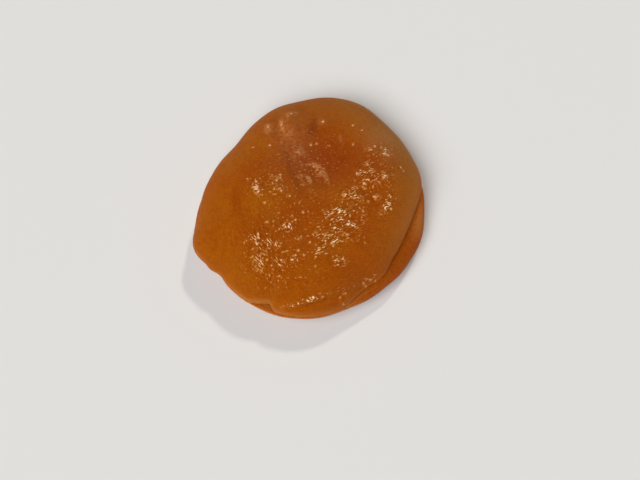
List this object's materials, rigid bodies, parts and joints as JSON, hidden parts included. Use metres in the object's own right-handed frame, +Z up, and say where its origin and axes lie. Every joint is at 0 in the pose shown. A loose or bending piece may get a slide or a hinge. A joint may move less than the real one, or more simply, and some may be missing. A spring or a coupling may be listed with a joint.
{
  "type": "dried apricot",
  "caption": "Plump round dried apricot, pitted whole: a glossy wrinkled disc with a sunken middle and a thick-lipped slit along one edge.",
  "frame": {"origin": "under the middle of the fruit, on the surface that its flat spot rests on", "axes": "+Z up through the sunken face, X and Y across the disc, the gaping side of the slit towards +X and -Y"},
  "size_m": [0.0406, 0.0418, 0.0111],
  "materials": {
    "apricot_flesh": "soft, slightly translucent amber flesh under a thin, glossy, finely wrinkled skin"
  },
  "bodies": {
    "root": {"dried_apricot": "apricot_flesh"}
  },
  "joints": []
}
